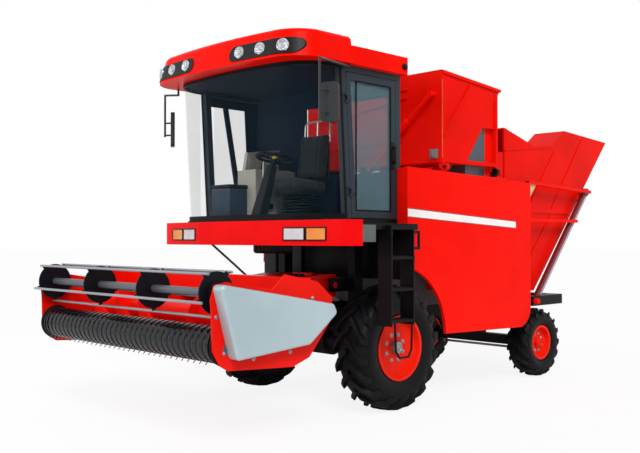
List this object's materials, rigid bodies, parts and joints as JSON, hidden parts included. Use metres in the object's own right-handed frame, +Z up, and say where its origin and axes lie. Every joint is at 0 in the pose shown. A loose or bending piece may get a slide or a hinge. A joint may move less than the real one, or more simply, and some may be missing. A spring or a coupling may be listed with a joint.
{
  "type": "peanut harvester",
  "caption": "Self-propelled peanut harvester with a raised pick-up header, glazed cab, tipping peanut bin and tipping vine box",
  "frame": {"origin": "on the ground, in the middle of the machine's length and width", "axes": "+X forward, +Y to the driver's left, +Z up"},
  "size_m": [7.255, 3.08, 3.7],
  "materials": {
    "body_red": "gloss",
    "header_red": "gloss",
    "silver_paint": "satin",
    "maroon_frame": "satin",
    "black_paint": "satin",
    "cab_grey": "satin",
    "orange_rim": "satin",
    "bright_steel": "polished",
    "grey_steel": "satin",
    "cast_metal": "rough",
    "tyre_black": "matte",
    "amber_lens": "clear",
    "tinted_glass": "clear",
    "lamp_lens": "clear",
    "black_plastic": "matte",
    "console_grey": "matte",
    "seat_cloth": "woven"
  },
  "bodies": {
    "chassis": {"chassis_frame": "black_paint", "front_axle": "cast_metal", "rear_axle": "cast_metal", "engine_block": "cast_metal", "thresher_housing": "grey_steel", "body_panel_left": "body_red", "body_panel_right": "body_red", "body_deck": "body_red", "cab_platform": "black_paint", "cab_bumper": "header_red", "head_lamps": "lamp_lens", "turn_lamps": "amber_lens", "cab_frame": "cab_grey", "cab_roof": "body_red", "lamp_pods": "black_plastic", "roof_lamps": "lamp_lens", "lift_casing": "cab_grey", "lift_hood": "body_red", "windshield": "tinted_glass", "cab_glass": "tinted_glass", "driver_seat": "seat_cloth", "steering_column": "black_plastic", "control_console": "console_grey", "ladder": "black_paint", "mirrors": "black_plastic", "bin_cradle": "body_red", "rear_beam": "black_paint", "rear_frame": "maroon_frame"},
    "header": {"header_frame": "header_red", "feeder_house": "header_red", "header_cover_left": "silver_paint", "header_cover_right": "silver_paint", "pickup_bands": "black_paint"},
    "reel": {"reel_discs": "black_paint", "reel_bars": "grey_steel"},
    "pickup_rotor": {"pickup_rotor": "grey_steel"},
    "header_auger": {"header_auger": "header_red"},
    "lift_barrels": {"lift_barrels": "black_paint"},
    "lift_rods": {"lift_rods": "bright_steel"},
    "door": {"cab_door": "cab_grey", "door_glass": "tinted_glass"},
    "front_wheel_left": {"front_tyre_left": "tyre_black", "front_rim_left": "orange_rim"},
    "front_wheel_right": {"front_tyre_right": "tyre_black", "front_rim_right": "orange_rim"},
    "knuckle_left": {"knuckle_left": "cast_metal"},
    "knuckle_right": {"knuckle_right": "cast_metal"},
    "rear_wheel_left": {"rear_tyre_left": "tyre_black", "rear_rim_left": "orange_rim"},
    "rear_wheel_right": {"rear_tyre_right": "tyre_black", "rear_rim_right": "orange_rim"},
    "tie_rod": {"tie_rod": "grey_steel"},
    "peanut_bin": {"peanut_bin": "body_red"},
    "bin_barrels": {"bin_barrels": "black_paint"},
    "bin_rods": {"bin_rods": "bright_steel"},
    "vine_box": {"vine_box": "body_red"},
    "box_barrels": {"box_barrels": "black_paint"},
    "box_rods": {"box_rods": "bright_steel"}
  },
  "joints": [
    {"name": "header_lift", "type": "hinge", "parent": "chassis", "child": "header", "pos_m": [1.24247, 0, 1.25], "axis": [0, 1, 0], "range_deg": [-4, 17]},
    {"name": "reel_spin", "type": "hinge", "parent": "header", "child": "reel", "pos_m": [3.42947, 0, 1.303], "axis": [0, 1, 0], "continuous": true},
    {"name": "pickup_spin", "type": "hinge", "parent": "header", "child": "pickup_rotor", "pos_m": [3.37747, 0, 0.863], "axis": [0, 1, 0], "continuous": true},
    {"name": "auger_spin", "type": "hinge", "parent": "header", "child": "header_auger", "pos_m": [2.82247, 0, 1.04], "axis": [0, 1, 0], "continuous": true},
    {"name": "lift_barrel_swing", "type": "hinge", "parent": "chassis", "child": "lift_barrels", "pos_m": [1.32247, 0, 0.76], "axis": [0, 1, 0], "range_deg": [-5.54, 20.28]},
    {"name": "lift_rod_slide", "type": "slide", "parent": "lift_barrels", "child": "lift_rods", "axis": [0.9969, 0, 0.079], "range_m": [-0.14868, 0.03881]},
    {"name": "door_swing", "type": "hinge", "parent": "chassis", "child": "door", "pos_m": [1.53947, 1.034, 1.936], "axis": [-0.0602, 0, -0.9982], "range_deg": [0, 80]},
    {"name": "front_wheel_left_spin", "type": "hinge", "parent": "chassis", "child": "front_wheel_left", "pos_m": [0.99247, 1.002, 0.635], "axis": [0, 1, 0], "continuous": true},
    {"name": "front_wheel_right_spin", "type": "hinge", "parent": "chassis", "child": "front_wheel_right", "pos_m": [0.99247, -1.002, 0.635], "axis": [0, 1, 0], "continuous": true},
    {"name": "steer_left", "type": "hinge", "parent": "chassis", "child": "knuckle_left", "pos_m": [-1.94453, 0.64, 0.428], "axis": [0, 0, 1], "range_deg": [-35, 35]},
    {"name": "rear_wheel_left_spin", "type": "hinge", "parent": "knuckle_left", "child": "rear_wheel_left", "pos_m": [-1.94453, 0.875, 0.428], "axis": [0, 1, 0], "continuous": true},
    {"name": "steer_right", "type": "hinge", "parent": "chassis", "child": "knuckle_right", "pos_m": [-1.94453, -0.64, 0.428], "axis": [0, 0, 1], "range_deg": [-35, 35]},
    {"name": "rear_wheel_right_spin", "type": "hinge", "parent": "knuckle_right", "child": "rear_wheel_right", "pos_m": [-1.94453, -0.875, 0.428], "axis": [0, 1, 0], "continuous": true},
    {"name": "tie_rod_slide", "type": "slide", "parent": "chassis", "child": "tie_rod", "axis": [0, 1, 0], "range_m": [-0.095, 0.095]},
    {"name": "bin_tip", "type": "hinge", "parent": "chassis", "child": "peanut_bin", "pos_m": [-0.31253, 1.12, 2.505], "axis": [-1, 0, 0], "range_deg": [0, 50]},
    {"name": "bin_barrel_swing", "type": "hinge", "parent": "chassis", "child": "bin_barrels", "pos_m": [-0.31253, 0.05, 2.53], "axis": [-1, 0, 0], "range_deg": [-1, 19.75]},
    {"name": "bin_rod_slide", "type": "slide", "parent": "bin_barrels", "child": "bin_rods", "axis": [0, 0.7769, 0.6297], "range_m": [-0.005, 0.51786]},
    {"name": "vine_box_tip", "type": "hinge", "parent": "chassis", "child": "vine_box", "pos_m": [-2.90753, 0, 2.35], "axis": [0, -1, 0], "range_deg": [0, 45]},
    {"name": "box_barrel_swing", "type": "hinge", "parent": "chassis", "child": "box_barrels", "pos_m": [-2.30753, 0, 1], "axis": [0, -1, 0], "range_deg": [-12.42, 1]},
    {"name": "box_rod_slide", "type": "slide", "parent": "box_barrels", "child": "box_rods", "axis": [-0.4009, 0, 0.9161], "range_m": [-0.005, 0.10444]}
  ],
  "couplings": [
    {"joint": "lift_barrel_swing", "follows": "header_lift", "ratio": 1.1344},
    {"joint": "lift_rod_slide", "follows": "header_lift", "m_per_rad": -0.48424},
    {"joint": "steer_right", "follows": "steer_left", "ratio": 1},
    {"joint": "tie_rod_slide", "follows": "steer_left", "m_per_rad": -0.145},
    {"joint": "bin_barrel_swing", "follows": "bin_tip", "ratio": 0.37491},
    {"joint": "bin_rod_slide", "follows": "bin_tip", "m_per_rad": 0.58769},
    {"joint": "box_barrel_swing", "follows": "vine_box_tip", "ratio": -0.25387},
    {"joint": "box_rod_slide", "follows": "vine_box_tip", "m_per_rad": 0.12661}
  ]
}
